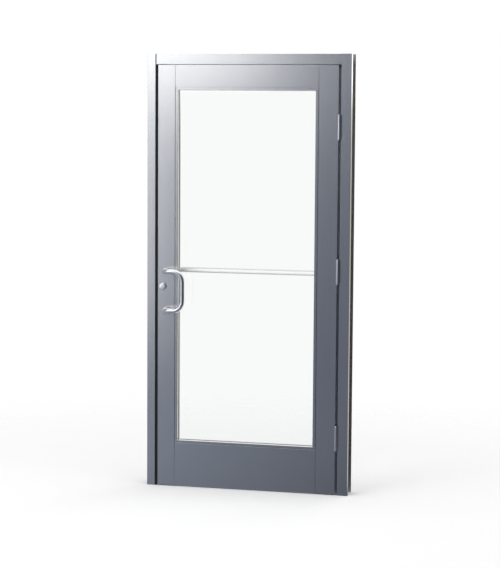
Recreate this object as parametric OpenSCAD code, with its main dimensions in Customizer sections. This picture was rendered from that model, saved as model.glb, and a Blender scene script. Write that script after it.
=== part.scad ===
// Glazed aluminium entrance door in its frame, seen from its pull side.
// X runs to the right, Y away from the viewer and Z up.
// The origin is on the floor, at the middle of the doorway and of the leaf's thickness.

/* [Doorway] */
// Width between the jambs
opening_w = 900; // [820:1:1100]
// Height from the floor to the header
opening_h = 2050; // [1980:1:2300]

/* [Frame] */
// Width of the frame's face
face_w = 50; // [44:0.5:60]
// Depth of the frame, front to back
frame_d = 100; // [92:0.5:130]
// Wall of the frame's extrusions
frame_wall = 3; // [2.5:0.1:3.5]
// Depth of the return lip on the frame's open back
lip_d = 25; // [10:0.5:30]
// Width of the set-back corner of the lock jamb
recess_w = 11; // [8:0.1:13]
// Depth of the set-back corner behind the face
recess_d = 8; // [6:0.1:8.5]
// Height of the stops above the lock jamb and the header
stop_h = 13; // [12.5:0.1:13.4]
// Height of the stop above the hinge jamb
hinge_stop_h = 19; // [17:0.1:24]
// Depth of a stop, front to back
stop_d = 32; // [26:0.1:34]
// Wall of a stop
stop_wall = 1.6; // [1.2:0.1:2]
// Space between leaf and stop for the weatherstrip
strip_gap = 6; // [5:0.1:7]

/* [Leaf] */
// Thickness of the leaf
leaf_t = 45; // [44:0.1:50]
// Gap between the leaf and the lock jamb
lock_gap = 3; // [2.5:0.1:4]
// Gap between the leaf and the hinge jamb
hinge_gap = 10.5; // [10:0.1:12]
// Gap between the leaf and the header
head_gap = 3; // [2.5:0.1:5]
// Gap between the leaf and the floor
floor_gap = 4.5; // [3:0.1:12]
// Face width of the lock stile
lock_stile_w = 86; // [80:0.5:110]
// Face width of the hinge stile
hinge_stile_w = 96; // [80:0.5:110]
// Height of the top rail
top_rail_h = 106; // [80:0.5:160]
// Height of the bottom rail
bottom_rail_h = 210; // [150:0.5:280]
// Wall of the stiles and rails
stile_wall = 3; // [2.5:0.1:3.5]

/* [Glazing] */
// Sight width of a glazing bead
bead_w = 15; // [12:0.5:20]
// Depth of a glazing bead
bead_d = 16; // [14:0.1:17]
// Wall of a glazing bead
bead_wall = 1.8; // [1.4:0.1:2.2]
// Width of the open joint beside a glazing bead
bead_reveal = 2; // [1.5:0.1:2.5]
// Thickness of the glass
pane_t = 6; // [5:0.5:6.5]
// Clearance from the edge of the glass to stile and rail
glass_clear = 5; // [4:0.5:6]
// Length of a setting block
block_l = 100; // [60:1:150]

/* [Hinges] */
// Height of a hinge
hinge_h = 114.3; // [100:0.1:127]
// Thickness of a hinge leaf
hinge_t = 3.4; // [3:0.1:3.6]
// Depth of a hinge leaf from the face of the door
hinge_d = 39; // [34:0.5:42]
// Radius of the knuckles
knuckle_r = 7.5; // [7:0.1:7.8]
// Radius of the pin
pin_r = 3.5; // [3:0.1:4]
// Distance of the pin's axis in front of the face
pin_out = 8.2; // [8:0.1:9]
// Height of the button at each end of the pin
tip_h = 4; // [2:0.5:6]
// Distance of the top hinge's middle below the top of the leaf
top_hinge_down = 291; // [200:1:360]
// Height of the middle hinge above the point midway between the other two
middle_hinge_up = 57; // [-80:1:120]
// Height of the bottom hinge's middle above the bottom of the leaf
bottom_hinge_up = 271.5; // [200:0.5:350]

/* [Handles] */
// Radius of the pull's and the push bar's rod
rod_r = 12.7; // [11:0.1:14]
// Distance of the rod's axis from the leaf
rod_out = 50; // [50:0.5:60]
// Height of the pull's upper end and of the push bar above the cylinders
pull_up = 76; // [70:1:88]
// Distance between the pull's ends
pull_span = 190; // [182:1:210]
// Width of the pull, from its ends to its grip
pull_w = 95; // [84:1:110]
// Bend radius where the pull leaves the leaf
pull_root_r = 30; // [26:0.5:34]
// Bend radius at the ends of the grip, and of the push bar
bend_r = 50; // [40:0.5:50]
// Radius of the bolts that hold the handles
handle_bolt_r = 4.8; // [4:0.1:5]

/* [Lock] */
// Height of the cylinders above the floor
cylinder_z = 980; // [970:1:985]
// Distance of the cylinders from the edge of the leaf
backset = 26; // [25.8:0.1:28]
// Radius of the cylinders
cylinder_r = 14.5; // [14:0.1:15]
// Radius of the key plug
plug_r = 6.35; // [6:0.05:6.5]
// Distance of the plug below the middle of its cylinder
plug_drop = 4.5; // [3:0.1:5]
// Distance of the bolt's pivot below the cylinders
pivot_drop = 75; // [72:1:78]
// Distance of the bolt's pivot from the edge of the leaf
pivot_in = 14; // [14:0.1:15]
// Length of the bolt above its pivot
bolt_l = 50; // [46:0.5:52]
// Width of the bolt
bolt_w = 24; // [22:0.5:24]
// Thickness of the bolt
bolt_t = 16; // [14:0.5:16.5]
// Height of the lock's face plate
plate_h = 175; // [165:1:180]
// Width of the lock's face plate
plate_w = 25; // [24:0.5:26]
// Radius of the bolt's pivot pin
pivot_r = 3; // [2.5:0.1:3.5]

/* [Hidden] */
$fn = 48;

// Clearances
cut = 1;
fit = 0.1;
slip = 0.3;
pin_clear = 0.05;
plug_clear = 0.06;

// Faces of the leaf and the frame
front = -leaf_t / 2;
back = leaf_t / 2;
frame_back = front + frame_d;
frame_h = opening_h + face_w;
jamb_l = -opening_w / 2;
jamb_r = opening_w / 2;
leaf_l = jamb_l + lock_gap;
leaf_r = jamb_r - hinge_gap;
leaf_b = floor_gap;
leaf_top = opening_h - head_gap;
leaf_h = leaf_top - leaf_b;

// Opening of the leaf between its stiles and rails
glaze_l = leaf_l + lock_stile_w;
glaze_r = leaf_r - hinge_stile_w;
glaze_b = leaf_b + bottom_rail_h;
glaze_t = leaf_top - top_rail_h;
glaze_w = glaze_r - glaze_l;
glaze_h = glaze_t - glaze_b;
gasket_t = back - bead_d - pane_t / 2;

// Colours
silver = "#b4bac2";
steel = "#d2d4d6";
zinc = "#9a9da1";
black = "#17181a";

// Rods along X and Y from one place to another
module rod_x(r, x0, x1) {
    translate([x0, 0, 0]) rotate([0, 90, 0]) cylinder(r = r, h = x1 - x0);
}

module rod_y(r, y0, y1) {
    translate([0, y0, 0]) rotate([-90, 0, 0]) cylinder(r = r, h = y1 - y0);
}

// Bevel on the visible corners of the extrusions
edge = 0.8;

// Frame extrusions

// Section of a jamb: the doorway is at x = 0, the open back at x = face_w
module frame_section(set_back) {
    difference() {
        polygon([[edge, front], [face_w - edge, front], [face_w, front + edge],
            [face_w, frame_back], [0, frame_back], [0, front + edge]]);
        translate([frame_wall, front + frame_wall])
            square([face_w - 2 * frame_wall, frame_d - 2 * frame_wall]);
        translate([face_w - frame_wall - cut, front + lip_d])
            square([frame_wall + 2 * cut, frame_d - lip_d - frame_wall]);
        if (set_back) translate([-cut, front - cut]) square([recess_w + cut, recess_d + cut]);
    }
    if (set_back) {
        translate([recess_w, front]) square([frame_wall, recess_d + frame_wall]);
        translate([0, front + recess_d]) square([recess_w + frame_wall, frame_wall]);
    }
}

// Holes for the frame's anchors, behind the stops
anchor_r = 4.5;
anchor_in = 9.5;
anchor_y = frame_back - anchor_in;
anchor_z = 150;
anchor_n = 4;
anchor_pitch = (frame_h - 2 * anchor_z) / (anchor_n - 1);

module anchor_holes(x) {
    for (i = [0 : anchor_n - 1])
        translate([x, anchor_y, anchor_z + i * anchor_pitch])
            rod_x(anchor_r, -frame_wall - cut, frame_wall + cut);
}

// Shear blocks that carry the header between the jambs
shear_l = 48;
shear_h = 36;
shear_t = 5;
shear_w = frame_d - 2 * frame_wall - 2 * slip;
shear_y = front + frame_wall + slip;
shear_screw_r = 2.4;
shear_screw_ys = [shear_y + shear_w * 0.25, shear_y + shear_w * 0.75];
shear_up = 24;
shear_in = 34;

module shear_screw_holes(r) {
    for (side = [-1, 1], y = shear_screw_ys) {
        translate([side * jamb_r, y, opening_h + shear_up])
            rod_x(r, -shear_t - frame_wall - cut, shear_t + frame_wall + cut);
        translate([side * (jamb_r - shear_in), y, opening_h - cut])
            cylinder(r = r, h = frame_wall + shear_t + 2 * cut);
    }
}

module lock_jamb() {
    color(silver) difference() {
        translate([jamb_l, 0, 0]) mirror([1, 0, 0]) linear_extrude(frame_h) frame_section(true);
        anchor_holes(jamb_l);
        shear_screw_holes(shear_screw_r + fit);
        strike_opening(strike_h + 2 * fit, strike_w + 2 * fit);
    }
}

module hinge_jamb() {
    color(silver) difference() {
        translate([jamb_r, 0, 0]) linear_extrude(frame_h) frame_section(false);
        anchor_holes(jamb_r);
        shear_screw_holes(shear_screw_r + fit);
        for (z = hinge_zs) translate([pin_x, pin_y, z]) hinge_screw_holes(hinge_screw_r + fit);
    }
}

module header() {
    color(silver) difference() {
        translate([jamb_r, 0, opening_h]) rotate([0, -90, 0])
            linear_extrude(opening_w) frame_section(false);
        shear_screw_holes(shear_screw_r + fit);
    }
}

module shear_blocks() {
    color(silver) difference() {
        for (side = [0, 1]) mirror([side, 0, 0])
            translate([jamb_l, shear_y, opening_h + frame_wall]) {
                cube([shear_t, shear_w, shear_h]);
                cube([shear_l, shear_w, shear_t]);
            }
        shear_screw_holes(shear_screw_r + fit);
    }
}

screw_head_r = 4.2;
screw_head_h = 2.6;

module shear_block_screws() {
    color(zinc) for (side = [0, 1]) mirror([side, 0, 0]) for (y = shear_screw_ys) {
        translate([jamb_l, y, opening_h + shear_up]) {
            rod_x(shear_screw_r, -frame_wall - 2, shear_t);
            rod_x(screw_head_r, shear_t, shear_t + screw_head_h);
        }
        translate([jamb_l + shear_in, y, opening_h + frame_wall]) {
            translate([0, 0, -frame_wall]) cylinder(r = shear_screw_r, h = frame_wall + shear_t);
            translate([0, 0, shear_t]) cylinder(r = screw_head_r, h = screw_head_h);
        }
    }
}

// Stops and weatherstrips

stop_y = back + strip_gap;
stop_nose = 1.5;

// Section of a stop of height h: the jamb is at x = 0
module stop_section(h) {
    difference() {
        polygon([[0, 0], [h - stop_nose, 0], [h, stop_nose], [h, stop_d - stop_nose],
            [h - stop_nose, stop_d], [0, stop_d]]);
        translate([-cut, stop_wall]) square([h - stop_wall + cut, stop_d - 2 * stop_wall]);
    }
}

// Section of a weatherstrip: a flat root on the stop and a bulb towards the leaf
strip_r = (strip_gap - slip) / 2;
strip_root_w = 7;
strip_root_t = 1.4;
strip_in = lock_gap + 4;
hinge_strip_in = hinge_gap + 3.5;

module strip_section(in) {
    translate([in - strip_root_w / 2, -strip_root_t]) square([strip_root_w, strip_root_t]);
    translate([in, -strip_r]) circle(strip_r);
}

module along_lock_jamb(len) {
    translate([jamb_l, stop_y, 0]) linear_extrude(len) children();
}

module along_hinge_jamb(len) {
    translate([jamb_r, stop_y, 0]) mirror([1, 0, 0]) linear_extrude(len) children();
}

module along_header() {
    translate([jamb_l, stop_y, opening_h]) rotate([0, 90, 0]) linear_extrude(opening_w) children();
}

side_stop_l = opening_h - stop_h;

module lock_stop() { color(silver) along_lock_jamb(side_stop_l) stop_section(stop_h); }
module hinge_stop() { color(silver) along_hinge_jamb(side_stop_l) stop_section(hinge_stop_h); }
module head_stop() { color(silver) along_header() stop_section(stop_h); }
module lock_weatherstrip() { color(black) along_lock_jamb(side_stop_l) strip_section(strip_in); }
module head_weatherstrip() { color(black) along_header() strip_section(strip_in); }

module hinge_weatherstrip() {
    color(black) along_hinge_jamb(side_stop_l) strip_section(hinge_strip_in);
}

// Rubber filler in the set-back corner of the lock jamb
seal_t = 5;
seal_rib = 1.5;

module lock_jamb_seal() {
    color(black) translate([jamb_l - recess_w, front + recess_d, 0]) linear_extrude(opening_h) {
        translate([slip, -seal_t]) square([recess_w - 2 * slip, seal_t]);
        translate([recess_w / 2, -seal_t]) circle(seal_rib);
    }
}

// Strike

pivot_z = cylinder_z - pivot_drop;
pivot_x = leaf_l + pivot_in;
strike_h = 110;
strike_w = 22;
strike_up = 18;
strike_z = pivot_z + strike_up;
strike_slot_b = pivot_z - bolt_w / 2 - 1.5;
strike_slot_t = pivot_z + bolt_l;
strike_slot_w = bolt_t + 1;
strike_screw_r = 2;
strike_screw_z = 47;
strike_screw_l = 9;
backing_t = 4;

module strike_opening(h, w) {
    translate([jamb_l - frame_wall - cut, -w / 2, strike_z - h / 2])
        cube([frame_wall + 2 * cut, w, h]);
}

module bolt_slot_cut() {
    translate([jamb_l - frame_wall - backing_t - cut, -strike_slot_w / 2, strike_slot_b])
        cube([frame_wall + backing_t + 2 * cut, strike_slot_w, strike_slot_t - strike_slot_b]);
}

module strike_screw_places() {
    for (side = [-1, 1]) translate([jamb_l, 0, strike_z + side * strike_screw_z]) children();
}

module strike_plate() {
    color(steel) difference() {
        translate([jamb_l - frame_wall, -strike_w / 2, strike_z - strike_h / 2])
            cube([frame_wall, strike_w, strike_h]);
        bolt_slot_cut();
        strike_screw_places() rod_x(strike_screw_r + fit, -frame_wall - cut, cut);
        strike_screw_places() countersink(strike_screw_r, 1);
    }
}

module strike_screws() {
    color(steel) strike_screw_places() mirror([1, 0, 0])
        flat_screw(strike_screw_r, strike_screw_l);
}

// Countersink at x = 0 that opens towards side 1 or -1, and the screw that fills it
sink_h = 2;
sink_more = 1.8;

module countersink(r, side) {
    translate([side * cut / 100, 0, 0]) rotate([0, -90 * side, 0])
        cylinder(r1 = r + fit + sink_more, r2 = r + fit, h = sink_h);
}

module flat_screw(r, len) {
    translate([fit, 0, 0]) rotate([0, 90, 0]) {
        cylinder(r1 = r + sink_more, r2 = r, h = sink_h);
        cylinder(r = r, h = len);
    }
}

// Hinges, each built about its pin with its bottom at z = 0

pin_x = jamb_r - hinge_gap / 2;
pin_y = front - pin_out;
knuckles = 5;
knuckle_pitch = hinge_h / knuckles;
knuckle_gap = 0.4;
knuckle_clear = 0.6;
top_hinge_z = leaf_top - top_hinge_down;
bottom_hinge_z = leaf_b + bottom_hinge_up;
middle_hinge_z = (top_hinge_z + bottom_hinge_z) / 2 + middle_hinge_up;
hinge_zs = [for (z = [top_hinge_z, middle_hinge_z, bottom_hinge_z]) z - hinge_h / 2];
plate_in = hinge_gap / 2 - hinge_t;
plate_y = knuckle_r + knuckle_clear;
plate_back = pin_out + hinge_d;
hinge_screw_r = 2.4;
hinge_screw_l = 13;
hinge_screw_ys = [pin_out + hinge_d * 0.3, pin_out + hinge_d * 0.72];
hinge_screw_step = 0.26;

module hinge_screw_places() {
    for (i = [0 : 3])
        translate([0, hinge_screw_ys[i % 2], hinge_h * (0.11 + hinge_screw_step * i)]) children();
}

module hinge_screw_holes(r) {
    hinge_screw_places() rod_x(r, plate_in - cut, hinge_gap / 2 + frame_wall + backing_t + cut);
}

// The half on the side of +X, with its first knuckle at the bottom when first is 0
module hinge_half(first) {
    difference() {
        union() {
            translate([plate_in, plate_y, 0]) cube([hinge_t, plate_back - plate_y, hinge_h]);
            for (i = [first : 2 : knuckles - 1])
                translate([0, 0, i * knuckle_pitch + knuckle_gap / 2]) {
                    cylinder(r = knuckle_r, h = knuckle_pitch - knuckle_gap);
                    translate([plate_in, 0, 0])
                        cube([hinge_t, plate_y + cut, knuckle_pitch - knuckle_gap]);
                }
        }
        translate([0, 0, -cut]) cylinder(r = pin_r + pin_clear, h = hinge_h + 2 * cut);
        hinge_screw_places() {
            rod_x(hinge_screw_r + fit, plate_in - cut, plate_in + hinge_t + cut);
            translate([plate_in, 0, 0]) countersink(hinge_screw_r, -1);
        }
    }
}

module jamb_half(z) { color(steel) translate([pin_x, pin_y, z]) hinge_half(0); }

module door_half(z) {
    color(steel) translate([pin_x, pin_y, z]) mirror([1, 0, 0]) hinge_half(1);
}

module top_jamb_hinge_leaf() { jamb_half(hinge_zs[0]); }
module middle_jamb_hinge_leaf() { jamb_half(hinge_zs[1]); }
module bottom_jamb_hinge_leaf() { jamb_half(hinge_zs[2]); }
module top_door_hinge_leaf() { door_half(hinge_zs[0]); }
module middle_door_hinge_leaf() { door_half(hinge_zs[1]); }
module bottom_door_hinge_leaf() { door_half(hinge_zs[2]); }

// Pins with their top button, and the plugs that close the barrels below
tip_r = 6.2;
tip_nose_r = 4.6;
plug_l = 8;

module hinge_pins() {
    color(steel) for (z = hinge_zs) translate([pin_x, pin_y, z]) {
        translate([0, 0, plug_l]) cylinder(r = pin_r, h = hinge_h - plug_l);
        translate([0, 0, hinge_h]) cylinder(r1 = tip_r, r2 = tip_nose_r, h = tip_h);
        cylinder(r = pin_r, h = plug_l - knuckle_gap);
        translate([0, 0, -tip_h]) cylinder(r1 = tip_nose_r, r2 = tip_r, h = tip_h);
    }
}

module hinge_screws() {
    for (z = hinge_zs) translate([pin_x, pin_y, z]) children();
}

module jamb_hinge_screws() {
    color(steel) hinge_screws() hinge_screw_places()
        translate([plate_in, 0, 0]) flat_screw(hinge_screw_r, hinge_screw_l);
}

module door_hinge_screws() {
    color(steel) hinge_screws() mirror([1, 0, 0]) hinge_screw_places()
        translate([plate_in, 0, 0]) flat_screw(hinge_screw_r, hinge_screw_l);
}

// Steel plates behind the walls that the hinges and the strike are screwed to
backing_more = 8;

module hinge_backing_plates() {
    difference() {
        for (z = hinge_zs)
            translate([pin_x + hinge_gap / 2 + frame_wall, front + frame_wall + slip, z - backing_more])
                cube([backing_t, hinge_d - frame_wall, hinge_h + 2 * backing_more]);
        for (z = hinge_zs) translate([pin_x, pin_y, z]) hinge_screw_holes(hinge_screw_r + fit);
    }
}

module jamb_backing_plates() {
    color(zinc) {
        hinge_backing_plates();
        difference() {
            translate([jamb_l - frame_wall - backing_t, front + recess_d + frame_wall + slip,
                strike_z - strike_h / 2 - backing_more])
                cube([backing_t, -2 * (front + recess_d + frame_wall + slip),
                    strike_h + 2 * backing_more]);
            bolt_slot_cut();
            strike_screw_places()
                rod_x(strike_screw_r + fit, -frame_wall - backing_t - cut, cut);
        }
    }
}

module stile_backing_plates() {
    color(zinc) difference() {
        for (z = hinge_zs)
            translate([leaf_r - stile_wall - backing_t, front + stile_wall + slip, z - backing_more])
                cube([backing_t, hinge_d - stile_wall, hinge_h + 2 * backing_more]);
        for (z = hinge_zs) translate([pin_x, pin_y, z]) mirror([1, 0, 0])
            hinge_screw_holes(hinge_screw_r + fit);
    }
}

// Leaf

// Section of a stile or rail: a box of the leaf's thickness with bevelled corners
rail_edge = 0.3;

module box_section(w, bevel) {
    difference() {
        polygon([[bevel, front], [w - bevel, front], [w, front + bevel], [w, back - bevel],
            [w - bevel, back], [bevel, back], [0, back - bevel], [0, front + bevel]]);
        translate([stile_wall, front + stile_wall])
            square([w - 2 * stile_wall, leaf_t - 2 * stile_wall]);
    }
}

rod_clear = 0.3;
tie_r = 4.75;
tie_zs = [leaf_top - top_rail_h / 2, leaf_b + bottom_rail_h / 2];
nut_t = 8;
nut_r = 9.2;
tie_end = 4;

module tie_holes() {
    for (z = tie_zs) translate([0, 0, z])
        rod_x(tie_r + rod_clear, glaze_l - stile_wall - cut, glaze_r + stile_wall + cut);
}

pull_x = leaf_l + lock_stile_w / 2;
push_end_x = leaf_r - hinge_stile_w / 2;
pull_z = cylinder_z + pull_up;
pull_zs = [pull_z, pull_z - pull_span];
cylinder_x = leaf_l + backset;
plate_up = 40;
plate_z = pivot_z + plate_up;

module lock_stile() {
    color(silver) difference() {
        translate([leaf_l, 0, leaf_b]) linear_extrude(leaf_h) box_section(lock_stile_w, edge);
        tie_holes();
        for (z = pull_zs) translate([pull_x, 0, z])
            rod_y(handle_bolt_r + rod_clear, front - cut, back + cut);
        translate([cylinder_x, 0, cylinder_z])
            rod_y(cylinder_r + rod_clear, front - cut, back + cut);
        translate([leaf_l - cut, -plate_w / 2 - fit, plate_z - plate_h / 2 - fit])
            cube([stile_wall + 2 * cut, plate_w + 2 * fit, plate_h + 2 * fit]);
        for (z = bracket_zs) translate([leaf_l, 0, z]) bracket_screw_holes(bracket_screw_r + fit);
        bracket_countersinks();
    }
}

module hinge_stile() {
    color(silver) difference() {
        translate([glaze_r, 0, leaf_b]) linear_extrude(leaf_h) box_section(hinge_stile_w, edge);
        tie_holes();
        for (z = hinge_zs) translate([pin_x, pin_y, z]) mirror([1, 0, 0])
            hinge_screw_holes(hinge_screw_r + fit);
        translate([push_end_x, 0, pull_z])
            rod_y(handle_bolt_r + rod_clear, back - stile_wall - cut, back + cut);
    }
}

// Open joint where the face walls of a rail meet a stile
joint_w = 1;
joint_d = stile_wall + 0.5;

module rail(bottom, h) {
    color(silver) difference() {
        translate([glaze_r, 0, bottom]) rotate([0, -90, 0]) linear_extrude(glaze_w)
            box_section(h, rail_edge);
        for (x = [glaze_l - cut, glaze_r - joint_w], y = [front - cut, back - joint_d])
            translate([x, y, bottom - cut]) cube([joint_w + cut, joint_d + cut, h + 2 * cut]);
    }
}

module top_rail() { rail(glaze_t, top_rail_h); }
module bottom_rail() { rail(leaf_b, bottom_rail_h); }

// Blocks in the ends of the rails, drawn tight by the tie rods
corner_l = 50;
corner_wall = 6;

module corner_block(z, h) {
    inner_h = h - 2 * stile_wall - 2 * slip;
    inner_d = leaf_t - 2 * stile_wall - 2 * slip;
    translate([0, -inner_d / 2, z - inner_h / 2]) difference() {
        cube([corner_l, inner_d, inner_h]);
        translate([corner_wall, -cut, corner_wall])
            cube([corner_l, inner_d + 2 * cut, inner_h - 2 * corner_wall]);
    }
}

module corner_blocks() {
    color(silver) difference() {
        for (i = [0, 1]) {
            h = [top_rail_h, bottom_rail_h][i];
            translate([glaze_l, 0, 0]) corner_block(tie_zs[i], h);
            translate([glaze_r, 0, 0]) mirror([1, 0, 0]) corner_block(tie_zs[i], h);
        }
        tie_holes();
    }
}

module tie_rods() {
    color(zinc) for (z = tie_zs) translate([0, 0, z]) {
        rod_x(tie_r, glaze_l - stile_wall - nut_t - tie_end, glaze_r + stile_wall + nut_t + tie_end);
        for (x = [glaze_l - stile_wall - nut_t, glaze_r + stile_wall]) difference() {
            translate([x, 0, 0]) rotate([0, 90, 0]) cylinder(r = nut_r, h = nut_t, $fn = 6);
            rod_x(tie_r + pin_clear, x - cut, x + nut_t + cut);
        }
    }
}

// Glazing beads

bead_nose = 1.5;

// Section of a bead: the stile or rail is at x = 0, the face of the leaf at y = 0
module bead_section() {
    leg = bead_reveal + bead_wall;
    foot = bead_d - bead_wall;
    polygon([[bead_reveal, 0], [bead_w - bead_nose, 0], [bead_w, bead_nose], [bead_w, bead_d],
        [bead_w - bead_wall, bead_d], [bead_w - bead_wall, bead_wall], [leg, bead_wall],
        [leg, bead_d], [0, bead_d], [0, foot], [bead_reveal, foot]]);
}

module cross_bead() {
    color(silver) translate([glaze_l + bead_reveal, front, 0]) rotate([0, 90, 0])
        linear_extrude(glaze_w - 2 * bead_reveal) bead_section();
}

module upright_bead() {
    color(silver) translate([0, front, glaze_b + bead_w])
        linear_extrude(glaze_h - 2 * bead_w) bead_section();
}

module outer_top_bead() { translate([0, 0, glaze_t]) cross_bead(); }
module outer_bottom_bead() { translate([0, 0, glaze_b]) mirror([0, 0, 1]) cross_bead(); }
module outer_lock_bead() { translate([glaze_l, 0, 0]) upright_bead(); }
module outer_hinge_bead() { translate([glaze_r, 0, 0]) mirror([1, 0, 0]) upright_bead(); }
module inner_top_bead() { mirror([0, 1, 0]) outer_top_bead(); }
module inner_bottom_bead() { mirror([0, 1, 0]) outer_bottom_bead(); }
module inner_lock_bead() { mirror([0, 1, 0]) outer_lock_bead(); }
module inner_hinge_bead() { mirror([0, 1, 0]) outer_hinge_bead(); }

// A frame that runs round the glass, so far inside the leaf's opening
module ring(inset, width, y, depth) {
    translate([glaze_l + inset, y, glaze_b + inset]) difference() {
        cube([glaze_w - 2 * inset, depth, glaze_h - 2 * inset]);
        translate([width, -cut, width])
            cube([glaze_w - 2 * inset - 2 * width, depth + 2 * cut, glaze_h - 2 * inset - 2 * width]);
    }
}

gasket_w = 7;
gasket_in = 0.6;

module outer_gasket() {
    color(black) ring(bead_w - gasket_w - gasket_in, gasket_w, front + bead_d, gasket_t);
}

module inner_gasket() { mirror([0, 1, 0]) outer_gasket(); }

module pane() {
    color("#cfe0e2", 0.3) translate([glaze_l + glass_clear, -pane_t / 2, glaze_b + glass_clear])
        cube([glaze_w - 2 * glass_clear, pane_t, glaze_h - 2 * glass_clear]);
}

module setting_blocks() {
    block_d = 2 * (back - bead_d - slip);
    color(black) for (share = [0.25, 0.75])
        translate([glaze_l + glaze_w * share - block_l / 2, -block_d / 2, glaze_b])
            cube([block_l, block_d, glass_clear]);
}

// Handles

// A quarter bend from the origin, first along +X, then towards +Y
module quarter_bend(radius) {
    translate([0, radius, 0]) rotate([0, 0, -90])
        rotate_extrude(angle = 90) translate([radius, 0]) circle(rod_r);
}

handle_y = front - rod_out;
thread_l = 15;

// Half of the pull's upper arm and grip, seen from its end at the stile
module pull_arm() {
    rotate([0, 0, -90]) rod_x(rod_r, 0, rod_out - pull_root_r);
    translate([0, -(rod_out - pull_root_r), 0]) rotate([0, 0, -90]) quarter_bend(pull_root_r);
    translate([0, -rod_out, 0]) {
        rod_x(rod_r, pull_root_r, pull_w - bend_r);
        translate([pull_w - bend_r, 0, 0]) rotate([-90, 0, 0]) quarter_bend(bend_r);
        translate([pull_w, 0, -pull_span / 2]) cylinder(r = rod_r, h = pull_span / 2 - bend_r);
    }
}

module pull_handle() {
    color(steel) difference() {
        union() {
            translate([pull_x, front, pull_z]) pull_arm();
            translate([pull_x, front, pull_z - pull_span]) mirror([0, 0, 1]) pull_arm();
        }
        for (z = pull_zs) translate([pull_x, 0, z])
            rod_y(handle_bolt_r + fit, front - thread_l - cut, front + cut);
    }
}

// One end of the push bar: out from the stile and round towards the bar
push_root_l = rod_out - bend_r;

module push_end() {
    if (push_root_l > 0) rod_y(rod_r, 0, push_root_l);
    translate([0, push_root_l, 0]) mirror([0, 1, 0]) rotate([0, 0, -90]) quarter_bend(bend_r);
}

module push_bar() {
    color(steel) difference() {
        translate([0, back, pull_z]) {
            translate([pull_x, 0, 0]) push_end();
            translate([push_end_x, 0, 0]) mirror([1, 0, 0]) push_end();
            translate([0, rod_out, 0]) rod_x(rod_r, pull_x + bend_r, push_end_x - bend_r);
        }
        for (x = [pull_x, push_end_x]) translate([x, 0, pull_z])
            rod_y(handle_bolt_r + fit, back - cut, back + thread_l + cut);
    }
}

bolt_head_r = 9.5;
bolt_head_h = 5;

module handle_bolts() {
    color(steel) {
        translate([pull_x, 0, pull_z]) rod_y(handle_bolt_r, front - thread_l, back + thread_l);
        translate([pull_x, 0, pull_z - pull_span]) {
            rod_y(handle_bolt_r, front - thread_l, back + bolt_head_h);
            rod_y(bolt_head_r, back, back + bolt_head_h);
        }
        translate([push_end_x, 0, pull_z]) {
            rod_y(handle_bolt_r, back - stile_wall - bolt_head_h, back + thread_l);
            rod_y(bolt_head_r, back - stile_wall - bolt_head_h, back - stile_wall);
        }
    }
}

// Lock

case_wall = 2;
case_w = 24;
case_d = backset + cylinder_r + 4;
case_b = pivot_z - bolt_w / 2 - 4;
case_t = cylinder_z + cylinder_r + 6;
case_x = leaf_l + stile_wall;

module lock_case() {
    color(zinc) difference() {
        translate([case_x, -case_w / 2, case_b]) cube([case_d, case_w, case_t - case_b]);
        translate([case_x - cut, -case_w / 2 + case_wall, case_b + case_wall])
            cube([case_d - case_wall + cut, case_w - 2 * case_wall, case_t - case_b - 2 * case_wall]);
        translate([cylinder_x, 0, cylinder_z]) rod_y(cylinder_r + fit, -case_w, case_w);
        translate([pivot_x, 0, pivot_z]) rod_y(pivot_r + pin_clear, -case_w, case_w);
    }
}

slot_b = pivot_z - bolt_w / 2 - 1;
slot_t = pivot_z + bolt_l + 1.5;
bracket_l = 30;
bracket_t = 3;
bracket_screw_r = 2;
bracket_screw_z = 8;
bracket_zs = [plate_z - plate_h / 2, plate_z + plate_h / 2];

module bracket_screw_holes(r) {
    for (side = [-1, 1]) translate([0, 0, side * bracket_screw_z])
        rod_x(r, -cut, stile_wall + bracket_t + cut);
}

module bracket_countersinks() {
    for (z = bracket_zs, side = [-1, 1]) translate([leaf_l, 0, z + side * bracket_screw_z])
        countersink(bracket_screw_r, -1);
}

module lock_faceplate() {
    color(steel) difference() {
        translate([leaf_l, -plate_w / 2, plate_z - plate_h / 2]) cube([stile_wall, plate_w, plate_h]);
        translate([leaf_l - cut, -strike_slot_w / 2, slot_b])
            cube([stile_wall + 2 * cut, strike_slot_w, slot_t - slot_b]);
        for (z = bracket_zs) translate([leaf_l, 0, z]) bracket_screw_holes(bracket_screw_r + fit);
        bracket_countersinks();
    }
}

// Brackets that bridge the ends of the face plate and the stile's wall
module lock_brackets() {
    color(zinc) difference() {
        for (z = bracket_zs) translate([case_x, -plate_w / 2, z - bracket_l / 2])
            cube([bracket_t, plate_w, bracket_l]);
        for (z = bracket_zs) translate([leaf_l, 0, z]) bracket_screw_holes(bracket_screw_r + fit);
    }
}

module faceplate_screws() {
    color(steel) for (z = bracket_zs, side = [-1, 1])
        translate([leaf_l, 0, z + side * bracket_screw_z]) flat_screw(bracket_screw_r, 8);
}

// Cylinders: a threaded body, a collar ring on the leaf and a head in front of it
ring_r = 17;
ring_nose_r = 16.2;
outer_ring_h = 6;
inner_ring_h = 4;
head_r = 15.4;
head_h = 2;
cylinder_end = 3.5;
key_w = 2.2;
key_h = 8.5;
key_l = 16;

module ring_collar(ring_h) {
    translate([cylinder_x, front, cylinder_z]) rotate([90, 0, 0]) difference() {
        cylinder(r1 = ring_r, r2 = ring_nose_r, h = ring_h);
        translate([0, 0, -cut]) cylinder(r = cylinder_r + fit, h = ring_h + 2 * cut);
    }
}

module cylinder_rings() {
    color(steel) {
        ring_collar(outer_ring_h);
        mirror([0, 1, 0]) ring_collar(inner_ring_h);
    }
}

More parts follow.
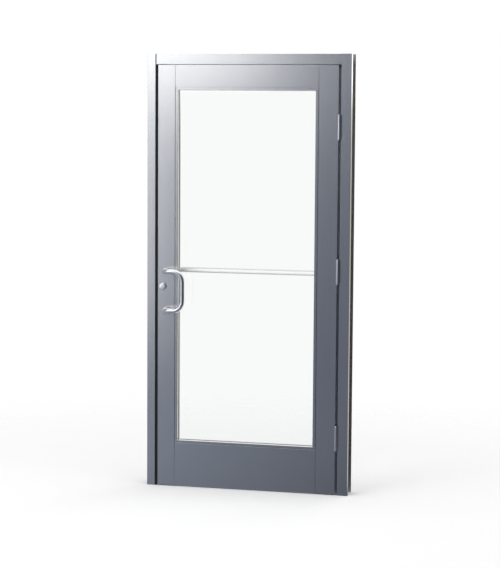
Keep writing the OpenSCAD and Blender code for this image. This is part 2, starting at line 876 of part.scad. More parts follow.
module cylinder_body(ring_h) {
    color(steel) difference() {
        translate([cylinder_x, 0, cylinder_z]) {
            rod_y(cylinder_r, front - ring_h, -cylinder_end);
            rod_y(head_r, front - ring_h - head_h, front - ring_h);
        }
        translate([cylinder_x, 0, cylinder_z - plug_drop])
            rod_y(plug_r + plug_clear, front - ring_h - head_h - cut, cut - cylinder_end);
    }
}

module outer_cylinder() { cylinder_body(outer_ring_h); }
module inner_cylinder() { mirror([0, 1, 0]) cylinder_body(inner_ring_h); }

plug_proud = 0.8;
key_plug_face = front - outer_ring_h - head_h - plug_proud;
turn_plug_face = front - inner_ring_h - head_h - plug_proud;
cam_t = 1.6;
cam_r = 7.4;
cam_reach = 12;
cam_w = 6;

// A plug in its cylinder with the cam that moves the bolt
module plug_and_cam(plug_face) {
    rod_y(plug_r, plug_face, slip - cylinder_end);
    rod_y(cam_r, slip - cylinder_end, slip - cylinder_end + cam_t);
    translate([-cam_w / 2, slip - cylinder_end, 0]) cube([cam_w, cam_t, cam_reach]);
}

module key_plug() {
    color(steel) translate([cylinder_x, 0, cylinder_z - plug_drop]) difference() {
        plug_and_cam(key_plug_face);
        translate([-key_w / 2, key_plug_face - cut, -key_h / 2 - 1])
            cube([key_w, key_l + cut, key_h]);
    }
}

turn_flange_r = 8.5;
turn_flange_h = 2.5;
turn_r = 13.5;
turn_t = 6;

module thumbturn() {
    color(steel) translate([cylinder_x, 0, cylinder_z - plug_drop]) mirror([0, 1, 0]) {
        plug_and_cam(turn_plug_face);
        rod_y(turn_flange_r, turn_plug_face - turn_flange_h, turn_plug_face);
        translate([0, turn_plug_face - turn_flange_h, 0]) intersection() {
            translate([-turn_t / 2, -turn_r, -turn_r]) cube([turn_t, turn_r, 2 * turn_r]);
            rod_x(turn_r, -turn_t, turn_t);
        }
    }
}

module bolt_pivot() {
    color(steel) translate([pivot_x, 0, pivot_z]) rod_y(pivot_r, -case_w / 2, case_w / 2);
}

// The bolt stands up behind its slot and swings out about the pivot
module deadbolt() {
    color(steel) translate([pivot_x, 0, pivot_z]) rotate([90, 0, 0])
        linear_extrude(bolt_t, center = true) difference() {
            union() {
                circle(bolt_w / 2);
                translate([-bolt_w / 2, 0]) square([bolt_w, bolt_l]);
            }
            circle(pivot_r + pin_clear);
        }
}

lock_jamb();
hinge_jamb();
header();
shear_blocks();
shear_block_screws();
lock_stop();
hinge_stop();
head_stop();
lock_weatherstrip();
hinge_weatherstrip();
head_weatherstrip();
lock_jamb_seal();
strike_plate();
jamb_backing_plates();
strike_screws();
top_jamb_hinge_leaf();
middle_jamb_hinge_leaf();
bottom_jamb_hinge_leaf();
hinge_pins();
jamb_hinge_screws();
lock_stile();
hinge_stile();
top_rail();
bottom_rail();
corner_blocks();
tie_rods();
outer_top_bead();
outer_bottom_bead();
outer_lock_bead();
outer_hinge_bead();
inner_top_bead();
inner_bottom_bead();
inner_lock_bead();
inner_hinge_bead();
outer_gasket();
inner_gasket();
pane();
setting_blocks();
top_door_hinge_leaf();
middle_door_hinge_leaf();
bottom_door_hinge_leaf();
stile_backing_plates();
door_hinge_screws();
pull_handle();
push_bar();
handle_bolts();
lock_case();
lock_faceplate();
lock_brackets();
faceplate_screws();
outer_cylinder();
inner_cylinder();
cylinder_rings();
bolt_pivot();
deadbolt();
thumbturn();
key_plug();
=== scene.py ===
# %% [markdown]
# # A glazed aluminium entrance door
#
# The real door is a standard shopfront unit: extruded aluminium jambs and header, a leaf
# of aluminium box sections round one large sheet of clear glass, steel hinges, a bent
# stainless pull outside and a push bar inside. The solids come ready made and at their
# true size, so this lesson is about light, finishes and small details.
#
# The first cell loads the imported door. Every piece is in metres, X runs to the right,
# Y away from the viewer and Z up from the floor.

import math

import bmesh
import bpy
from mathutils import Matrix, Vector


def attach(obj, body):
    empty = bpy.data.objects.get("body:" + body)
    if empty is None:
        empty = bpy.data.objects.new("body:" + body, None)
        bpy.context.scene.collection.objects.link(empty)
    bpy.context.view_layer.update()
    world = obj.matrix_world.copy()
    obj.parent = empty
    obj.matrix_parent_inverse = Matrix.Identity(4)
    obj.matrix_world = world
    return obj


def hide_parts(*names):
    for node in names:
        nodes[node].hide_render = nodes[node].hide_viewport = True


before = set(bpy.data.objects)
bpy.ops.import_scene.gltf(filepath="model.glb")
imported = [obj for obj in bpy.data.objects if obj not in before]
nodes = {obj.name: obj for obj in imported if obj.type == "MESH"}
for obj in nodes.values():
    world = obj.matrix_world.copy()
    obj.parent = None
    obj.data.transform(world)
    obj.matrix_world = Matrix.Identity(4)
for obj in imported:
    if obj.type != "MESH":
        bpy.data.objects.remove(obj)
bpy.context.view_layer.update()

# %% [markdown]
# A finish is written once as the colour that the eye sees on a chart, a hex value, while
# a shader wants the linear amount of light. One function turns the first into the second.
# A second one adds a shader node, sets it and links it, so that a material reads from top
# to bottom like a recipe.

# %% Colour and shader helpers
MM = 0.001


def linear(hex_colour):
    channels = [int(hex_colour[i:i + 2], 16) / 255 for i in (1, 3, 5)]
    return [c / 12.92 if c <= 0.04045 else ((c + 0.055) / 1.055) ** 2.4 for c in channels]


def colour(hex_colour):
    return (*linear(hex_colour), 1.0)


def add(tree, kind, inputs=None, **settings):
    """Adds a shader node. An input is a plain value, or the socket that feeds it."""
    made = tree.nodes.new(kind)
    for name, value in settings.items():
        setattr(made, name, value)
    for name, value in (inputs or {}).items():
        if isinstance(value, bpy.types.NodeSocket):
            tree.links.new(value, made.inputs[name])
        else:
            made.inputs[name].default_value = value
    return made


def new_material(name):
    material = bpy.data.materials.new(name)
    material.use_nodes = True
    material.node_tree.nodes.clear()
    return material, material.node_tree


def wear(piece, material):
    """Gives a piece one finish all over."""
    piece.data.materials.clear()
    piece.data.materials.append(material)


print("grey card #808080 is", round(linear("#808080")[0], 3), "in linear light")

# %% [markdown]
# The camera stands where the photographer stood: to the right of the door, a little
# below the top of the frame, with a long lens. Its place was found by fitting the
# corners of the frame and leaf to the picture, so a plain set of numbers is the honest
# way to write it. Blender's camera looks along its own -Z, so the three axes of the view
# become the columns of its matrix.

# %% Camera at the photograph's place
FOCAL_PX, PICTURE_LONG_PX, SENSOR_MM = 1878.2, 568, 36.0
CAMERA_PLACE = (2.2497, -8.7008, 1.8455)
azimuth, pitch, roll = (math.radians(v) for v in (14.438, 5.366, 0.388))
look = Vector((-math.sin(azimuth) * math.cos(pitch),
               math.cos(azimuth) * math.cos(pitch), -math.sin(pitch)))
level = Vector((math.cos(azimuth), math.sin(azimuth), 0.0))
above = level.cross(look)
right = level * math.cos(roll) + above * math.sin(roll)
up = above * math.cos(roll) - level * math.sin(roll)

camera = bpy.data.objects.new("camera", bpy.data.cameras.new("camera"))
bpy.context.scene.collection.objects.link(camera)
camera.data.sensor_width = SENSOR_MM
camera.data.lens = FOCAL_PX * SENSOR_MM / PICTURE_LONG_PX
camera.data.clip_end = 200.0
camera.matrix_world = Matrix.Translation(CAMERA_PLACE) @ Matrix(
    (right, up, -look)).transposed().to_4x4()
bpy.context.scene.camera = camera
bpy.context.scene.view_settings.view_transform = "Standard"
print("lens:", round(camera.data.lens, 2), "mm, at", CAMERA_PLACE)

# %% [markdown]
# Satin metal shows its surroundings more than its own colour, so the light is the larger
# part of its look. The picture shows a large soft light high on the left, a second one
# below it, and a dim blue-grey studio at the lower right. Area lamps are used because
# their size sets how soft the reflections and shadows are. Their places and strengths
# were found by rendering one lamp at a time and adding the results up in the shares that
# come closest to the picture. A lamp overhead keeps the floor white behind the door, and
# one behind the door keeps its back readable when it is seen from there.

# %% Studio lamps
# The power that one square metre of an area lamp needs to look as bright as 1
WATTS_PER_M2 = 4


def softbox(name, place, size, radiance, ahead=(0, 1, 0)):
    """A rectangular lamp that faces ahead, and whose face looks as bright as radiance."""
    lamp = bpy.data.lights.new(name, "AREA")
    lamp.shape = "RECTANGLE"
    lamp.size, lamp.size_y = size
    lamp.energy = radiance * WATTS_PER_M2 * size[0] * size[1]
    box = bpy.data.objects.new(name, lamp)
    bpy.context.scene.collection.objects.link(box)
    towards = Vector(ahead).to_track_quat("-Z", "Y")
    box.matrix_world = Matrix.Translation(place) @ towards.to_matrix().to_4x4()
    box.visible_camera = box.visible_transmission = False
    return box


softbox("key_softbox", (-3.6, -6.0, 4.07), (4.4, 4.2), 1.5)
softbox("low_softbox", (-4.4, -6.0, 0.95), (3.3, 1.85), 1.75)
softbox("top_softbox", (0.2, -1.0, 5.0), (5.0, 3.0), 1.2, ahead=(0, 0.1, -1))
softbox("back_softbox", (2.4, 6.0, 3.6), (3.4, 3.4), 1.2, ahead=(-0.37, -0.93, 0))

# %% [markdown]
# The studio is an ordinary one: a pale warm backdrop behind the door that turns to a cool
# white above, and a dim blue-grey room in front of it that falls off to dark on the right.
# The world shader is that room. A direction with Y above zero looks at the backdrop, and one
# with Y below zero looks back into the room, which is what the front of the door mirrors.
# Metal takes most of its look from this. The camera and the clear glass see plain white all
# round, and matt surfaces get an even light. Each change of tone is written as the two
# places between which it happens, on a direction of length 1.

# %% World
ROOM_LEFT, ROOM_MIDDLE, ROOM_RIGHT = "#7b859a", "#505664", "#24262b"
BACKDROP_LOW, BACKDROP_HIGH = "#d4cbc5", "#f2f4f8"
LEFT_TO_MIDDLE, MIDDLE_TO_RIGHT = (-0.42, -0.10), (0.05, 0.6)
ROOM_TO_BACKDROP, LOW_TO_HIGH = (0.0, 0.5), (0.3, 0.6)
EVEN_LIGHT = 0.68
world = bpy.data.worlds.new("studio_room")
bpy.context.scene.world = world
world.use_nodes = True
tree = world.node_tree
tree.nodes.clear()
ray = add(tree, "ShaderNodeLightPath")
way = add(tree, "ShaderNodeTexCoord")
split = add(tree, "ShaderNodeSeparateXYZ", {0: way.outputs["Generated"]})
behind = add(tree, "ShaderNodeMapRange", {"Value": split.outputs["Y"],
                                          "From Min": ROOM_TO_BACKDROP[0],
                                          "From Max": ROOM_TO_BACKDROP[1]},
             interpolation_type="SMOOTHSTEP")
across = add(tree, "ShaderNodeMapRange", {"Value": split.outputs["X"],
                                          "From Min": LEFT_TO_MIDDLE[0],
                                          "From Max": LEFT_TO_MIDDLE[1]})
front = add(tree, "ShaderNodeMix", {"Factor": across.outputs["Result"],
                                    "A": colour(ROOM_LEFT), "B": colour(ROOM_MIDDLE)},
            data_type="RGBA")
far = add(tree, "ShaderNodeMapRange", {"Value": split.outputs["X"],
                                       "From Min": MIDDLE_TO_RIGHT[0],
                                       "From Max": MIDDLE_TO_RIGHT[1]})
side = add(tree, "ShaderNodeMix", {"Factor": far.outputs["Result"],
                                   "A": front.outputs["Result"], "B": colour(ROOM_RIGHT)},
           data_type="RGBA")
upward = add(tree, "ShaderNodeMapRange", {"Value": split.outputs["Z"],
                                          "From Min": LOW_TO_HIGH[0],
                                          "From Max": LOW_TO_HIGH[1]})
backdrop = add(tree, "ShaderNodeMix", {"Factor": upward.outputs["Result"],
                                       "A": colour(BACKDROP_LOW),
                                       "B": colour(BACKDROP_HIGH)}, data_type="RGBA")
room = add(tree, "ShaderNodeMix", {"Factor": behind.outputs["Result"],
                                   "A": side.outputs["Result"],
                                   "B": backdrop.outputs["Result"]}, data_type="RGBA")
mirrored = add(tree, "ShaderNodeBackground", {"Color": room.outputs["Result"]})
even = add(tree, "ShaderNodeBackground", {"Color": (1, 1, 1, 1), "Strength": EVEN_LIGHT})
seen = add(tree, "ShaderNodeBackground", {"Color": (1, 1, 1, 1), "Strength": 1.0})
direct = add(tree, "ShaderNodeMath", {0: ray.outputs["Is Camera Ray"],
                                      1: ray.outputs["Is Transmission Ray"]},
             operation="MAXIMUM")
by_gloss = add(tree, "ShaderNodeMixShader", {0: ray.outputs["Is Glossy Ray"],
                                             1: even.outputs[0], 2: mirrored.outputs[0]})
by_sight = add(tree, "ShaderNodeMixShader", {0: direct.outputs[0],
                                             1: by_gloss.outputs[0], 2: seen.outputs[0]})
add(tree, "ShaderNodeOutputWorld", {"Surface": by_sight.outputs[0]})
print("world:", world.name, "with an even light of", EVEN_LIGHT)

# %% [markdown]
# The floor is a round white sheet that carries the soft shadow of the frame. Its rim
# fades to nothing, so that no horizon line shows against the white beyond. A white floor
# would show up bright in the foot of the door, and the picture has none of that, so what
# the metal mirrors of the floor is a painted reflection: an emitted glow of painted shade,
# blue-grey on the left, dark on the right and paler behind, as dim as the room over it.
# A ray through the glass counts as glossy too, and the subtraction takes it out again, so
# that the glass shows the white sheet.

# %% Floor
FLOOR_RADIUS, RIM_FADE = 3.4, (0.8, 3.2)
# Colours of the painted reflection: the glow that the metal mirrors in place of the lit floor
PAINTED_GLOW_LEFT, PAINTED_GLOW_RIGHT, PAINTED_GLOW_BEHIND = "#8f98aa", "#565b66", "#cac8ca"
PAINTED_GLOW_LEFT_TO_RIGHT, PAINTED_GLOW_FRONT_TO_BACK = (-1.4, 0.7), (-0.1, 0.4)
floor_mesh = bpy.data.meshes.new("studio_floor")
sheet = bmesh.new()
bmesh.ops.create_circle(sheet, cap_ends=True, segments=96, radius=FLOOR_RADIUS)
sheet.to_mesh(floor_mesh)
sheet.free()
floor = bpy.data.objects.new("studio_floor", floor_mesh)
bpy.context.scene.collection.objects.link(floor)

floor_paint_and_glow, tree = new_material("matt_white_floor_painted_reflection")
ray = add(tree, "ShaderNodeLightPath")
place = add(tree, "ShaderNodeTexCoord")
distance = add(tree, "ShaderNodeVectorMath", {0: place.outputs["Object"]}, operation="LENGTH")
fade = add(tree, "ShaderNodeMapRange", {"Value": distance.outputs["Value"],
                                        "From Min": RIM_FADE[0], "From Max": RIM_FADE[1]},
           interpolation_type="SMOOTHSTEP")
split = add(tree, "ShaderNodeSeparateXYZ", {0: place.outputs["Object"]})
behind = add(tree, "ShaderNodeMapRange", {"Value": split.outputs["Y"],
                                          "From Min": PAINTED_GLOW_FRONT_TO_BACK[0],
                                          "From Max": PAINTED_GLOW_FRONT_TO_BACK[1]},
             interpolation_type="SMOOTHSTEP")
across = add(tree, "ShaderNodeMapRange", {"Value": split.outputs["X"],
                                          "From Min": PAINTED_GLOW_LEFT_TO_RIGHT[0],
                                          "From Max": PAINTED_GLOW_LEFT_TO_RIGHT[1]})
front = add(tree, "ShaderNodeMix", {"Factor": across.outputs["Result"],
                                    "A": colour(PAINTED_GLOW_LEFT), "B": colour(PAINTED_GLOW_RIGHT)},
            data_type="RGBA")
painted_glow_colour = add(tree, "ShaderNodeMix", {"Factor": behind.outputs["Result"],
                                        "A": front.outputs["Result"],
                                        "B": colour(PAINTED_GLOW_BEHIND)}, data_type="RGBA")
paint = add(tree, "ShaderNodeBsdfDiffuse", {"Color": colour("#ffffff")})
# Painted reflection: an emitted glow, dark on the right, that glossy rays see instead of the
# floor
painted_floor_glow = add(tree, "ShaderNodeEmission", {"Color": painted_glow_colour.outputs["Result"], "Strength": 1.0})
clear = add(tree, "ShaderNodeBsdfTransparent")
by_mirror = add(tree, "ShaderNodeMath", {0: ray.outputs["Is Glossy Ray"],
                                         1: ray.outputs["Is Transmission Ray"]},
                operation="SUBTRACT", use_clamp=True)
surface = add(tree, "ShaderNodeMixShader", {0: by_mirror.outputs[0],
                                            1: paint.outputs[0], 2: painted_floor_glow.outputs[0]})
rimmed = add(tree, "ShaderNodeMixShader", {0: fade.outputs["Result"],
                                           1: surface.outputs[0], 2: clear.outputs[0]})
add(tree, "ShaderNodeOutputMaterial", {"Surface": rimmed.outputs[0]})
wear(floor, floor_paint_and_glow)
print("floor radius:", FLOOR_RADIUS, "m")

# %% [markdown]
# The extrusions are aluminium 6063, etched and clear anodised. Etching leaves a fine
# even satin and anodising seals it, so the surface mirrors softly, and faint lines from
# the die run along each length. The lines are far finer than a pixel, so they are drawn
# 2 mm apart to be seen at all up close. Each piece takes the lines along its own length,
# which is why one function makes the upright and the level finish. A slow drift of tone,
# over about 90 mm, keeps the long faces from looking painted.

# %% Anodised aluminium
CLEAR_ANODISED, SATIN = "#d6d6d5", 0.24
CLOUD, TONE_WANDER, SATIN_WANDER = 90.0 * MM, 0.03, 0.03
# How far apart the die lines are, and how many follow each other along one metre
DIE_LINE, LINES_A_METRE = 2.0 * MM, 1.2


def anodised(name, run):
    """run is the axis, 0 for X or 2 for Z, that the die lines follow."""
    material, tree = new_material(name)
    place = add(tree, "ShaderNodeTexCoord")
    squeeze = [1 / DIE_LINE] * 3
    squeeze[run] = LINES_A_METRE
    lengthwise = add(tree, "ShaderNodeMapping", {"Vector": place.outputs["Object"],
                                                 "Scale": squeeze})
    lines = add(tree, "ShaderNodeTexNoise", {"Vector": lengthwise.outputs[0], "Scale": 1.0,
                                             "Detail": 3.0, "Roughness": 0.6})
    clouds = add(tree, "ShaderNodeTexNoise", {"Vector": place.outputs["Object"],
                                              "Scale": 1 / CLOUD, "Detail": 2.0})
    satin = add(tree, "ShaderNodeMapRange", {"Value": lines.outputs["Fac"],
                                             "To Min": SATIN - SATIN_WANDER,
                                             "To Max": SATIN + SATIN_WANDER})
    tone = add(tree, "ShaderNodeMapRange", {"Value": clouds.outputs["Fac"],
                                            "To Min": 1 - TONE_WANDER,
                                            "To Max": 1 + TONE_WANDER})
    tinted = add(tree, "ShaderNodeVectorMath", {0: linear(CLEAR_ANODISED),
                                                "Scale": tone.outputs[0]},
                 operation="SCALE")
    relief = add(tree, "ShaderNodeBump", {"Height": lines.outputs["Fac"], "Strength": 0.025,
                                          "Distance": 0.05 * MM})
    metal = add(tree, "ShaderNodeBsdfPrincipled", {"Base Color": tinted.outputs[0],
                                                   "Metallic": 1.0,
                                                   "Roughness": satin.outputs[0],
                                                   "Normal": relief.outputs[0]})
    add(tree, "ShaderNodeOutputMaterial", {"Surface": metal.outputs[0]})
    return material


upright_aluminium = anodised("anodised_aluminium_upright", 2)
level_aluminium = anodised("anodised_aluminium_level", 0)
uprights = ["lock_jamb", "hinge_jamb", "lock_stop", "hinge_stop", "lock_stile",
            "hinge_stile", "outer_lock_bead", "outer_hinge_bead", "inner_lock_bead",
            "inner_hinge_bead"]
levels = ["header", "head_stop", "top_rail", "bottom_rail", "outer_top_bead",
          "outer_bottom_bead", "inner_top_bead", "inner_bottom_bead", "shear_blocks",
          "corner_blocks"]
for name in uprights:
    wear(nodes[name], upright_aluminium)
for name in levels:
    wear(nodes[name], level_aluminium)
print("anodised pieces:", len(uprights) + len(levels))

# %% [markdown]
# The gaskets, weatherstrips and the filler in the lock jamb are black EPDM rubber. It is
# extruded and left matt, with a bloom of fine grey where it has aged, so the colour is a
# near black and the roughness is high and slightly patchy.

# %% Black rubber
BLOOM, PORES = 14 * MM, 0.8 * MM
rubber, tree = new_material("epdm_rubber")
place = add(tree, "ShaderNodeTexCoord")
bloom = add(tree, "ShaderNodeTexNoise", {"Vector": place.outputs["Object"],
                                         "Scale": 1 / BLOOM, "Detail": 4.0})
pores = add(tree, "ShaderNodeTexNoise", {"Vector": place.outputs["Object"],
                                         "Scale": 1 / PORES, "Detail": 2.0})
shade = add(tree, "ShaderNodeMix", {"Factor": bloom.outputs["Fac"], "A": colour("#111112"),
                                    "B": colour("#1d1d1f")}, data_type="RGBA")
dull = add(tree, "ShaderNodeMapRange", {"Value": bloom.outputs["Fac"], "To Min": 0.55,
                                        "To Max": 0.8})
skin = add(tree, "ShaderNodeBump", {"Height": pores.outputs["Fac"], "Strength": 0.15,
                                    "Distance": 0.1 * MM})
body = add(tree, "ShaderNodeBsdfPrincipled", {"Base Color": shade.outputs["Result"],
                                              "Roughness": dull.outputs[0], "IOR": 1.52,
                                              "Normal": skin.outputs[0]})
add(tree, "ShaderNodeOutputMaterial", {"Surface": body.outputs[0]})
rubbers = ["lock_weatherstrip", "hinge_weatherstrip", "head_weatherstrip",
           "lock_jamb_seal", "outer_gasket", "inner_gasket", "setting_blocks"]
for name in rubbers:
    wear(nodes[name], rubber)
print("rubber pieces:", len(rubbers))

# %% [markdown]
# The other metals differ in colour and polish. The handles are stainless steel, ground with
# a fine belt, so they are bright and satin. The hinges and the lock's plates are plated
# steel with a duller satin. The lock cylinders are brass under a satin chrome plate. What is
# hidden inside is zinc plated, with the mottled look of zinc. All of them start from one
# recipe: a metal with a fine grain in its polish.

# %% Steels, chrome and zinc
POLISH_WANDER = 0.2


def polished(name, base, roughness, grain_size, patch_size, patch):
    """patch is how far the tone wanders over patch_size, from 0 up."""
    material, tree = new_material(name)
    place = add(tree, "ShaderNodeTexCoord")
    grain = add(tree, "ShaderNodeTexNoise", {"Vector": place.outputs["Object"],
                                             "Scale": 1 / grain_size, "Detail": 3.0})
    patches = add(tree, "ShaderNodeTexNoise", {"Vector": place.outputs["Object"],
                                               "Scale": 1 / patch_size, "Detail": 2.0})
    satin = add(tree, "ShaderNodeMapRange", {"Value": grain.outputs["Fac"],
                                             "To Min": roughness * (1 - POLISH_WANDER),
                                             "To Max": roughness * (1 + POLISH_WANDER)})
    tone = add(tree, "ShaderNodeMapRange", {"Value": patches.outputs["Fac"],
                                            "To Min": 1 - patch, "To Max": 1 + patch})
    tinted = add(tree, "ShaderNodeVectorMath", {0: linear(base), "Scale": tone.outputs[0]},
                 operation="SCALE")
    relief = add(tree, "ShaderNodeBump", {"Height": grain.outputs["Fac"], "Strength": 0.05,
                                          "Distance": 0.03 * MM})
    metal = add(tree, "ShaderNodeBsdfPrincipled", {"Base Color": tinted.outputs[0],
                                                   "Metallic": 1.0,
                                                   "Roughness": satin.outputs[0],
                                                   "Normal": relief.outputs[0]})
    add(tree, "ShaderNodeOutputMaterial", {"Surface": metal.outputs[0]})
    return material


stainless = polished("satin_stainless_steel", "#f6f6f5", 0.3, 0.7 * MM, 60 * MM, 0.02)
plated = polished("satin_plated_steel", "#e6e7e8", 0.34, 0.8 * MM, 30 * MM, 0.04)
chrome = polished("satin_chrome_plate", "#f2f2f3", 0.3, 0.5 * MM, 40 * MM, 0.02)
zinc = polished("zinc_plate", "#a7aaae", 0.42, 0.9 * MM, 12 * MM, 0.12)
finishes = {
    stainless: ["pull_handle", "push_bar"],
    plated: ["strike_plate", "strike_screws", "top_jamb_hinge_leaf",
             "middle_jamb_hinge_leaf", "bottom_jamb_hinge_leaf", "hinge_pins",
             "jamb_hinge_screws", "top_door_hinge_leaf", "middle_door_hinge_leaf",
             "bottom_door_hinge_leaf", "door_hinge_screws", "lock_faceplate",
             "faceplate_screws", "handle_bolts", "deadbolt"],
    chrome: ["outer_cylinder", "inner_cylinder", "cylinder_rings", "thumbturn", "key_plug"],
    zinc: ["shear_block_screws", "jamb_backing_plates", "tie_rods", "stile_backing_plates",
           "lock_case", "lock_brackets", "bolt_pivot"],
}
for finish, names in finishes.items():
    for name in names:
        wear(nodes[name], finish)
    print(finish.name, len(names), "pieces")

# %% [markdown]
# The pane is 6 mm clear float glass. Seen flat on it shows only a faint green and a weak
# mirror image, and most of what the eye gets is the white studio behind. Shadows pass
# through real glass, which a renderer's glass would stop, so light on its way to the
# floor goes through a clear shader instead. The polish is a little uneven, as on any pane
# that has been wiped.

# %% Float glass
DUST_PATCH = 120 * MM
glass, tree = new_material("float_glass")
ray = add(tree, "ShaderNodeLightPath")
place = add(tree, "ShaderNodeTexCoord")
dust = add(tree, "ShaderNodeTexNoise", {"Vector": place.outputs["Object"],
                                        "Scale": 1 / DUST_PATCH, "Detail": 3.0})
smear = add(tree, "ShaderNodeMapRange", {"Value": dust.outputs["Fac"], "To Min": 0.0,
                                         "To Max": 0.02})
pane = add(tree, "ShaderNodeBsdfPrincipled", {"Base Color": colour("#fcfefd"),
                                              "Roughness": smear.outputs[0], "IOR": 1.52,
                                              "Transmission Weight": 1.0})
open_air = add(tree, "ShaderNodeBsdfTransparent", {"Color": colour("#fbfdfc")})
lit = add(tree, "ShaderNodeMixShader", {0: ray.outputs["Is Shadow Ray"],
                                        1: pane.outputs[0], 2: open_air.outputs[0]})
add(tree, "ShaderNodeOutputMaterial", {"Surface": lit.outputs[0]})
wear(nodes["pane"], glass)
print("pane in", glass.name)

# %% [markdown]
# Small turned parts never have knife edges, and screws have a recess for the driver. The
# solids leave both out, so these parts are made again as new pieces. A turned part is a
# section spun round an axis. A section is a list of points: how far from the axis, and how
# far along it. A new piece stands for the solid whose name it is given, and rides on the
# same body. Its normals are worked out again, because a spin can turn them inwards.

# %% Helpers for new pieces
WELD, NEAR = 0.001 * MM, 0.01 * MM
SHARP_FROM = math.radians(32)


def spun(section, closed, steps):
    """Spins a section of (radius, distance) points round the Z axis into a new mesh."""
    work = bmesh.new()
    points = [work.verts.new((r, 0, z)) for r, z in section]
    pairs = list(zip(points, points[1:])) + ([(points[-1], points[0])] if closed else [])
    edges = [work.edges.new(pair) for pair in pairs]
    bmesh.ops.spin(work, geom=points + edges, axis=(0, 0, 1), cent=(0, 0, 0),
                   steps=steps, angle=math.tau, use_merge=True)
    bmesh.ops.remove_doubles(work, verts=work.verts, dist=WELD)
    return work


def rim(work, radius, z):
    """The circle of edges at one radius and height."""
    return [e for e in work.edges if all(abs(v.co.z - z) < NEAR and
            abs(v.co.xy.length - radius) < NEAR for v in e.verts)]


def rounded(work, edges, size, segments=4):
    bmesh.ops.bevel(work, geom=edges, offset=size, offset_type="OFFSET", segments=segments,
                    profile=0.5, affect="EDGES", material=-1)


def piece(work, name, finish, body, slot, stands_for):
    """Turns a finished mesh into a piece of the door that replaces a solid."""
    bmesh.ops.recalc_face_normals(work, faces=work.faces)
    mesh = bpy.data.meshes.new(name)
    work.to_mesh(mesh)
    work.free()
    mesh.shade_smooth()
    mesh.set_sharp_from_angle(angle=SHARP_FROM)
    made = bpy.data.objects.new(name, mesh)
    bpy.context.scene.collection.objects.link(made)
    wear(made, finish)
    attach(made, body)
    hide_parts(stands_for)
    return made


def joined(parts):
    """One mesh out of several."""
    whole = bmesh.new()
    for part in parts:
        step = bpy.data.meshes.new("step")
        part.to_mesh(step)
        part.free()
        whole.from_mesh(step)
        bpy.data.meshes.remove(step)
    return whole


print("points closer than", WELD, "m are merged")

# %% [markdown]
# The lock's collar rings and cylinder heads are brass, turned and chrome plated, and their
# rims are rounded by a bevel. The cylinder also has a round hole, lower than its middle,
# that the key plug turns in, so each of its two faces is bridged from the rim to the rim of
# the hole, and the two rims of the hole to each other.

# %% Turned cylinders and rings
LOCK_X, LOCK_Z, LEAF_FACE = -421 * MM, 980 * MM, 22.5 * MM
CYLINDER_R, HEAD_R, HEAD_H, CYLINDER_END = 14.5 * MM, 15.4 * MM, 2 * MM, 3.5 * MM
RING_R, RING_NOSE_R, RING_CLEAR = 17 * MM, 16.2 * MM, 0.1 * MM
PLUG_HOLE_R, PLUG_DROP = 6.41 * MM, 4.5 * MM
HEAD_ROUND, RING_ROUND = 0.7 * MM, 0.9 * MM
OUTER_RING_H, INNER_RING_H, ROUND_STEPS = 6 * MM, 4 * MM, 64


def on_lock(side):
    """Places a mesh whose Z runs out of the leaf. Side -1 is outside and 1 inside."""
    turn = Matrix.Rotation(math.radians(90), 4, "X")
    if side > 0:
        turn = Matrix.Rotation(math.radians(180), 4, "Z") @ turn
    return Matrix.Translation((LOCK_X, 0, LOCK_Z)) @ turn


def cylinder(side, ring_h):
    face = LEAF_FACE + ring_h + HEAD_H
    work = spun([(CYLINDER_R, CYLINDER_END), (CYLINDER_R, face - HEAD_H),
                 (HEAD_R, face - HEAD_H), (HEAD_R, face)], False, ROUND_STEPS)
    loops = {}
    for z in (CYLINDER_END, face):
        outer = [e for e in work.edges if e.is_boundary and
                 all(abs(v.co.z - z) < NEAR for v in e.verts)]
        hole = bmesh.ops.create_circle(work, segments=ROUND_STEPS, radius=PLUG_HOLE_R,
                                       matrix=Matrix.Translation((0, -PLUG_DROP, z)))
        inner = list(dict.fromkeys(e for v in hole["verts"] for e in v.link_edges))
        loops[z] = inner
        bmesh.ops.bridge_loops(work, edges=outer + inner)
    bmesh.ops.bridge_loops(work, edges=loops[CYLINDER_END] + loops[face])
    rounded(work, rim(work, HEAD_R, face), HEAD_ROUND)
    bmesh.ops.transform(work, matrix=on_lock(side), verts=work.verts)
    return work


def ring(side, ring_h):
    bore, foot, top = CYLINDER_R + RING_CLEAR, LEAF_FACE, LEAF_FACE + ring_h
    work = spun([(bore, foot), (RING_R, foot), (RING_NOSE_R, top), (bore, top)], True,
                ROUND_STEPS)
    rounded(work, rim(work, RING_NOSE_R, top), RING_ROUND)
    bmesh.ops.transform(work, matrix=on_lock(side), verts=work.verts)
    return work


turned = [
    piece(cylinder(-1, OUTER_RING_H), "outer_cylinder_turned", chrome, "leaf", "lock_chrome",
          "outer_cylinder"),
    piece(cylinder(1, INNER_RING_H), "inner_cylinder_turned", chrome, "leaf", "lock_chrome",
          "inner_cylinder"),
    piece(joined([ring(-1, OUTER_RING_H), ring(1, INNER_RING_H)]), "cylinder_rings_turned",
          chrome, "leaf", "lock_chrome", "cylinder_rings"),
]
print("turned:", [(o.name, len(o.data.polygons)) for o in turned])

# %% [markdown]
# The screws in the hinges, the strike and the lock's face plate are flat heads with a
# cross recess. One screw is made upright: a spun body that is open at the top, a cross
# inside that rim, the two bridged, and the cross pushed down to a smaller floor. A cross
# is a circle of twelve points, turned by half a step, in which every third is drawn in
# towards the middle: those on the diagonals are the cross's inner corners.

# %% One cross recessed screw
SINK_MORE, SINK_H = 1.8 * MM, 2 * MM
TIP_CHAMFER, HEAD_FLAT, SCREW_STEPS = 0.3 * MM, 0.15 * MM, 24
CROSS_POINTS = 12
# Shares of the head's radius
ARM, RECESS_DEPTH = 0.52, 0.42
# Shares of the arm's length
ARM_TIP, INNER_CORNER, RECESS_TAPER = 1.035, 0.379, 0.6


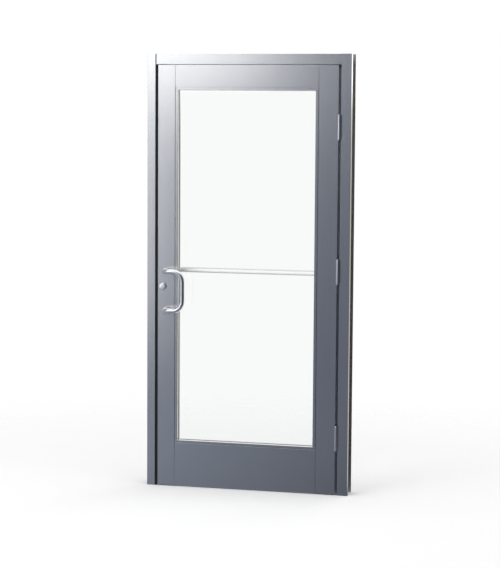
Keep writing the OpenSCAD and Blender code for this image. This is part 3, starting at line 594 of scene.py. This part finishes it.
def screw(head_r, length):
    shank_r = head_r - SINK_MORE
    work = spun([(0, -length), (shank_r - TIP_CHAMFER, -length),
                 (shank_r, -length + TIP_CHAMFER), (shank_r, -SINK_H), (head_r, -NEAR),
                 (head_r - HEAD_FLAT, 0)], False, SCREW_STEPS)
    outer = [e for e in work.edges if e.is_boundary]
    arm = ARM * head_r
    circle = bmesh.ops.create_circle(work, segments=CROSS_POINTS, radius=arm)["verts"]
    for v in circle:
        turn = math.degrees(math.atan2(v.co.y, v.co.x)) + 180 / CROSS_POINTS
        corner = round(turn - 45) % 90 == 0
        reach = arm * (INNER_CORNER if corner else ARM_TIP)
        v.co = (reach * math.cos(math.radians(turn)), reach * math.sin(math.radians(turn)), 0)
    cross = list(dict.fromkeys(e for v in circle for e in v.link_edges))
    bmesh.ops.bridge_loops(work, edges=outer + cross)
    sunk = bmesh.ops.extrude_edge_only(work, edges=cross)["geom"]
    bottom = [v for v in sunk if isinstance(v, bmesh.types.BMVert)]
    for v in bottom:
        v.co = (v.co.x * RECESS_TAPER, v.co.y * RECESS_TAPER, -RECESS_DEPTH * head_r)
    bmesh.ops.contextual_create(work, geom=[e for e in sunk
                                            if isinstance(e, bmesh.types.BMEdge)])
    return work


sample = screw(4 * MM, 9 * MM)
print("faces in one screw:", len(sample.faces))
sample.free()

# %% [markdown]
# The solids tell where each screw sits, because every loose island of their mesh is a
# screw: its box gives the head's radius, the length and the place. The drives are turned
# a little from screw to screw, because no fitter lines them up.

# %% Screws in their places
DRIVE_TURN = 0.7


def islands(solid):
    """The lowest and highest corner of every loose island of a solid."""
    work = bmesh.new()
    work.from_mesh(solid.data)
    bmesh.ops.remove_doubles(work, verts=work.verts, dist=WELD)
    left, found = set(work.verts), []
    while left:
        island, front_line = set(), [left.pop()]
        while front_line:
            v = front_line.pop()
            island.add(v)
            reached = {e.other_vert(v) for e in v.link_edges} & left
            left -= reached
            front_line += reached
        found.append([[pick(v.co[i] for v in island) for i in range(3)]
                      for pick in (min, max)])
    work.free()
    return sorted(found)


def screws(node, outward):
    """outward is 1 where the heads look along X, and -1 where they look against it."""
    parts = []
    for i, (low, high) in enumerate(islands(nodes[node])):
        made = screw((high[1] - low[1]) / 2, high[0] - low[0])
        place = Matrix.Translation((high[0] if outward > 0 else low[0],
                                    (low[1] + high[1]) / 2, (low[2] + high[2]) / 2))
        turn = Matrix.Rotation(math.radians(90 * outward), 4, "Y")
        drive = Matrix.Rotation(DRIVE_TURN * i, 4, "Z")
        bmesh.ops.transform(made, matrix=place @ turn @ drive, verts=made.verts)
        parts.append(made)
    return joined(parts)


for node, outward, body in (("jamb_hinge_screws", -1, "frame"),
                            ("door_hinge_screws", 1, "leaf"),
                            ("strike_screws", 1, "frame"), ("faceplate_screws", -1, "leaf")):
    made = piece(screws(node, outward), node + "_crossed", plated, body,
                 "satin_hinge_steel", node)
    print(made.name, len(made.data.polygons), "faces")
